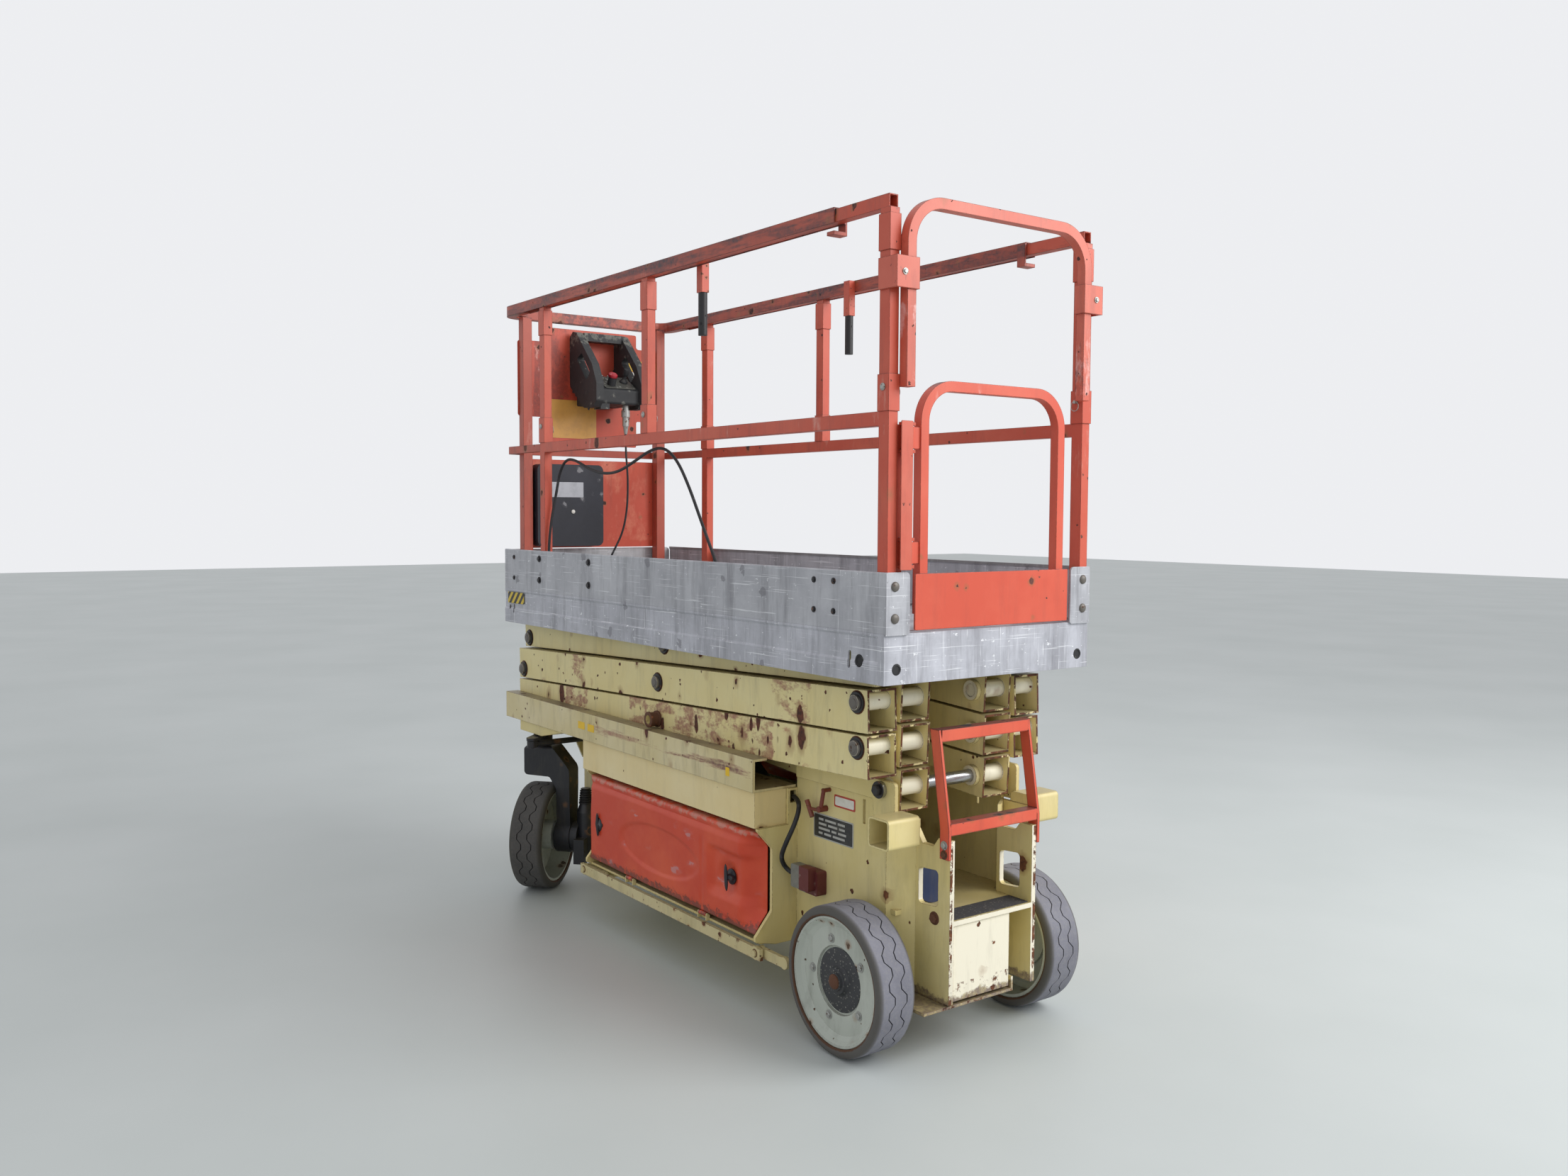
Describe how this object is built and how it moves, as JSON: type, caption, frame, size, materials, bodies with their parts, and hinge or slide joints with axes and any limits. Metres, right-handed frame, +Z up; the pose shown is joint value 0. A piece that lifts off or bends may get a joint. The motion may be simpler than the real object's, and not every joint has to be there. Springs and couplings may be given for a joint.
{
  "type": "scissor lift",
  "caption": "Electric slab scissor lift: narrow chassis with battery covers and steered front wheels, stacked crossed arms, railed aluminium platform with sliding extension and entry gate.",
  "frame": {"origin": "on the floor under the middle of the platform, in the machine's mid plane", "axes": "+X forwards to the steered wheels, +Y to the machine's left, +Z up"},
  "size_m": [2.3693, 1.001, 2.2499],
  "materials": {
    "cream_paint": "matt, weathered",
    "arm_paint": "matt, weathered",
    "orange_cover": "satin",
    "rail_paint": "faded, worn",
    "orange_paint": "satin",
    "grey_aluminium": "dull",
    "light_aluminium": "dull",
    "black_paint": "satin",
    "grey_tyre": "matt",
    "dark_tyre": "matt",
    "rim_paint": "satin",
    "bright_steel": "polished",
    "dull_steel": "dull",
    "black_plastic": "matt",
    "grey_plastic": "matt",
    "blue_paint": "satin",
    "black_rubber": "matt"
  },
  "bodies": {
    "chassis": {"chassis_frame": "cream_paint", "slide_channels": "cream_paint", "side_boxes": "cream_paint", "base_pivot_shaft": "bright_steel", "rear_axles": "dull_steel", "battery_pack": "black_plastic", "pump_motor": "blue_paint", "ladder": "orange_paint", "battery_connector": "black_plastic", "lowering_handle": "black_paint", "chassis_cable": "black_rubber"},
    "cover_left": {"battery_cover_left": "orange_cover"},
    "cover_right": {"battery_cover_right": "orange_cover"},
    "guard_rear": {"guard_cranks_rear": "cream_paint"},
    "guard_front": {"guard_cranks_front": "cream_paint"},
    "guards": {"guard_bars": "cream_paint"},
    "inner_1": {"inner_arms_1": "arm_paint"},
    "outer_1": {"outer_arms_1": "arm_paint"},
    "inner_2": {"inner_arms_2": "arm_paint"},
    "outer_2": {"outer_arms_2": "arm_paint"},
    "inner_3": {"inner_arms_3": "arm_paint"},
    "outer_3": {"outer_arms_3": "arm_paint"},
    "lower_blocks": {"lower_slide_blocks": "black_plastic"},
    "upper_blocks": {"upper_slide_blocks": "black_plastic"},
    "barrel": {"lift_barrel": "black_paint"},
    "rod": {"lift_rod": "bright_steel"},
    "rear_wheel_left": {"rear_tyre_left": "grey_tyre", "rear_hub_left": "rim_paint"},
    "rear_wheel_right": {"rear_tyre_right": "grey_tyre", "rear_hub_right": "rim_paint"},
    "steer_left": {"knuckle_left": "black_paint"},
    "steer_right": {"knuckle_right": "black_paint"},
    "front_wheel_left": {"front_tyre_left": "dark_tyre", "front_hub_left": "rim_paint"},
    "front_wheel_right": {"front_tyre_right": "dark_tyre", "front_hub_right": "rim_paint"},
    "tie": {"tie_rod": "black_paint"},
    "platform": {"deck_frame": "grey_aluminium", "platform_hangers": "dull_steel", "toe_boards": "light_aluminium", "side_rails": "rail_paint", "entry_hoop": "rail_paint", "gate_post": "rail_paint", "rail_cable": "black_rubber"},
    "gate_leaf": {"gate": "rail_paint"},
    "extension": {"extension_deck": "light_aluminium", "extension_rails": "rail_paint", "front_panel": "orange_paint", "control_box": "grey_plastic", "control_connector": "dull_steel", "document_box": "black_plastic", "deck_handles": "black_rubber", "control_cable": "black_rubber"}
  },
  "joints": [
    {"name": "lift_hinge", "type": "hinge", "parent": "chassis", "child": "inner_1", "pos_m": [-0.977, 0, 0.713], "axis": [0, -1, 0], "range_deg": [0, 55]},
    {"name": "centre_1", "type": "hinge", "parent": "inner_1", "child": "outer_1", "pos_m": [0.0625, 0, 0.774], "axis": [0, -1, 0], "range_deg": [-110, 0]},
    {"name": "rear_12", "type": "hinge", "parent": "outer_1", "child": "inner_2", "pos_m": [-0.977, 0, 0.835], "axis": [0, -1, 0], "range_deg": [0, 110]},
    {"name": "centre_2", "type": "hinge", "parent": "inner_2", "child": "outer_2", "pos_m": [0.0625, 0, 0.896], "axis": [0, -1, 0], "range_deg": [-110, 0]},
    {"name": "rear_23", "type": "hinge", "parent": "outer_2", "child": "inner_3", "pos_m": [-0.977, 0, 0.957], "axis": [0, -1, 0], "range_deg": [0, 110]},
    {"name": "centre_3", "type": "hinge", "parent": "inner_3", "child": "outer_3", "pos_m": [0.0625, 0, 1.018], "axis": [0, -1, 0], "range_deg": [-110, 0]},
    {"name": "platform_hinge", "type": "hinge", "parent": "outer_3", "child": "platform", "pos_m": [-0.977, 0, 1.079], "axis": [0, -1, 0], "range_deg": [0, 55]},
    {"name": "lower_blocks_hinge", "type": "hinge", "parent": "outer_1", "child": "lower_blocks", "pos_m": [1.102, 0, 0.713], "axis": [0, -1, 0], "range_deg": [0, 55]},
    {"name": "upper_blocks_hinge", "type": "hinge", "parent": "inner_3", "child": "upper_blocks", "pos_m": [1.102, 0, 1.079], "axis": [0, -1, 0], "range_deg": [-55, 0]},
    {"name": "barrel_hinge", "type": "hinge", "parent": "chassis", "child": "barrel", "pos_m": [-0.5, 0, 0.27], "axis": [0, -1, 0], "range_deg": [0, 50.8]},
    {"name": "rod_slide", "type": "slide", "parent": "barrel", "child": "rod", "axis": [0.8576, 0, 0.5143], "range_m": [0, 0.594]},
    {"name": "guard_rear_hinge", "type": "hinge", "parent": "chassis", "child": "guard_rear", "pos_m": [-0.7, 0, 0.178], "axis": [0, 1, 0], "range_deg": [0, 55]},
    {"name": "guard_front_hinge", "type": "hinge", "parent": "chassis", "child": "guard_front", "pos_m": [0.376, 0, 0.178], "axis": [0, 1, 0], "range_deg": [0, 55]},
    {"name": "guard_bar_hinge", "type": "hinge", "parent": "guard_rear", "child": "guards", "pos_m": [-0.582, 0, 0.178], "axis": [0, 1, 0], "range_deg": [-55, 0]},
    {"name": "cover_left_hinge", "type": "hinge", "parent": "chassis", "child": "cover_left", "pos_m": [-0.05, 0.362, 0.2165], "axis": [-1, 0, 0], "range_deg": [0, 90]},
    {"name": "cover_right_hinge", "type": "hinge", "parent": "chassis", "child": "cover_right", "pos_m": [-0.05, -0.362, 0.2165], "axis": [1, 0, 0], "range_deg": [0, 90]},
    {"name": "rear_spin_left", "type": "hinge", "parent": "chassis", "child": "rear_wheel_left", "pos_m": [-0.947, 0.3175, 0.203], "axis": [0, 1, 0], "continuous": true},
    {"name": "rear_spin_right", "type": "hinge", "parent": "chassis", "child": "rear_wheel_right", "pos_m": [-0.947, -0.3175, 0.203], "axis": [0, 1, 0], "continuous": true},
    {"name": "steer_left_hinge", "type": "hinge", "parent": "chassis", "child": "steer_left", "pos_m": [0.945, 0.3175, 0.5], "axis": [0, 0, 1], "range_deg": [-13, 107]},
    {"name": "steer_right_hinge", "type": "hinge", "parent": "chassis", "child": "steer_right", "pos_m": [0.945, -0.3175, 0.5], "axis": [0, 0, 1], "range_deg": [-13, 107]},
    {"name": "front_spin_left", "type": "hinge", "parent": "steer_left", "child": "front_wheel_left", "pos_m": [0.945, 0.3175, 0.203], "axis": [0.7314, 0.682, 0], "continuous": true},
    {"name": "front_spin_right", "type": "hinge", "parent": "steer_right", "child": "front_wheel_right", "pos_m": [0.945, -0.3175, 0.203], "axis": [0.7314, 0.682, 0], "continuous": true},
    {"name": "tie_hinge", "type": "hinge", "parent": "steer_left", "child": "tie", "pos_m": [0.86998, 0.39795, 0.576], "axis": [0, 0, 1], "range_deg": [-107, 13]},
    {"name": "gate_hinge", "type": "hinge", "parent": "platform", "child": "gate_leaf", "pos_m": [-1.154, 0.3, 1.5], "axis": [0, 0, 1], "range_deg": [0, 90]},
    {"name": "extension_slide", "type": "slide", "parent": "platform", "child": "extension", "axis": [1, 0, 0], "range_m": [0, 0.9]}
  ],
  "couplings": [
    {"joint": "centre_1", "follows": "lift_hinge", "ratio": -2},
    {"joint": "rear_12", "follows": "lift_hinge", "ratio": 2},
    {"joint": "centre_2", "follows": "lift_hinge", "ratio": -2},
    {"joint": "rear_23", "follows": "lift_hinge", "ratio": 2},
    {"joint": "centre_3", "follows": "lift_hinge", "ratio": -2},
    {"joint": "platform_hinge", "follows": "lift_hinge", "ratio": 1},
    {"joint": "lower_blocks_hinge", "follows": "lift_hinge", "ratio": 1},
    {"joint": "upper_blocks_hinge", "follows": "lift_hinge", "ratio": -1},
    {"joint": "barrel_hinge", "follows": "lift_hinge", "ratio": 0.92345},
    {"joint": "rod_slide", "follows": "lift_hinge", "m_per_rad": 0.61859},
    {"joint": "guard_rear_hinge", "follows": "lift_hinge", "ratio": 1},
    {"joint": "guard_front_hinge", "follows": "lift_hinge", "ratio": 1},
    {"joint": "guard_bar_hinge", "follows": "lift_hinge", "ratio": -1},
    {"joint": "steer_right_hinge", "follows": "steer_left_hinge", "ratio": 1},
    {"joint": "tie_hinge", "follows": "steer_left_hinge", "ratio": -1}
  ]
}
